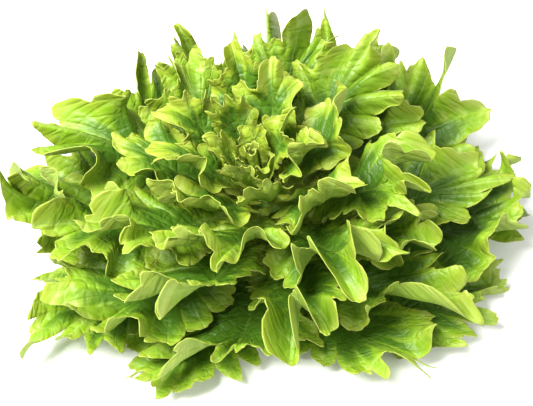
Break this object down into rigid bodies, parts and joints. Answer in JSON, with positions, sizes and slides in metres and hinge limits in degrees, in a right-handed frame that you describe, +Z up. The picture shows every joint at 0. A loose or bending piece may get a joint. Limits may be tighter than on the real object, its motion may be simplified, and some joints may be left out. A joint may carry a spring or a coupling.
{
  "type": "oak leaf lettuce head",
  "caption": "Loose green lettuce head: ruffled, lobed leaves in a spiral round a short stem that is cut flat below, with a small rolled heart.",
  "frame": {"origin": "centre of the flat cut face under the stem, on the surface the head stands on", "axes": "+Z up through the heart, -Y towards the viewer of the picture, +X to the viewer's right"},
  "size_m": [0.2932, 0.2431, 0.1],
  "materials": {
    "outer_leaf_green": "satin, fresh leaf with paler veins and margins",
    "inner_leaf_green": "satin, young yellow-green leaf",
    "cut_stem_pale": "matt, pale cut stem"
  },
  "bodies": {
    "root": {"stem": "cut_stem_pale", "heart_bud": "inner_leaf_green", "leaf_01": "outer_leaf_green", "leaf_02": "outer_leaf_green", "leaf_03": "outer_leaf_green", "leaf_04": "outer_leaf_green", "leaf_05": "outer_leaf_green", "leaf_06": "outer_leaf_green", "leaf_07": "outer_leaf_green", "leaf_08": "outer_leaf_green", "leaf_09": "outer_leaf_green", "leaf_10": "outer_leaf_green", "leaf_11": "outer_leaf_green", "leaf_12": "outer_leaf_green", "leaf_13": "outer_leaf_green", "leaf_14": "outer_leaf_green", "leaf_15": "outer_leaf_green", "leaf_16": "outer_leaf_green", "leaf_17": "outer_leaf_green", "leaf_18": "outer_leaf_green", "leaf_19": "outer_leaf_green", "leaf_20": "outer_leaf_green", "leaf_21": "outer_leaf_green", "leaf_22": "outer_leaf_green", "leaf_23": "outer_leaf_green", "leaf_24": "outer_leaf_green", "leaf_25": "outer_leaf_green", "leaf_26": "outer_leaf_green", "leaf_27": "outer_leaf_green", "leaf_28": "outer_leaf_green", "leaf_29": "outer_leaf_green", "leaf_30": "outer_leaf_green", "leaf_31": "outer_leaf_green", "leaf_32": "outer_leaf_green", "leaf_33": "outer_leaf_green", "leaf_34": "inner_leaf_green", "leaf_35": "inner_leaf_green", "leaf_36": "inner_leaf_green", "leaf_37": "inner_leaf_green", "leaf_38": "inner_leaf_green", "leaf_39": "inner_leaf_green", "leaf_40": "inner_leaf_green", "leaf_41": "inner_leaf_green", "leaf_42": "inner_leaf_green", "leaf_43": "inner_leaf_green", "leaf_44": "inner_leaf_green", "leaf_45": "inner_leaf_green", "leaf_46": "inner_leaf_green", "leaf_47": "inner_leaf_green", "leaf_48": "inner_leaf_green", "leaf_49": "inner_leaf_green", "leaf_50": "inner_leaf_green"}
  },
  "joints": []
}
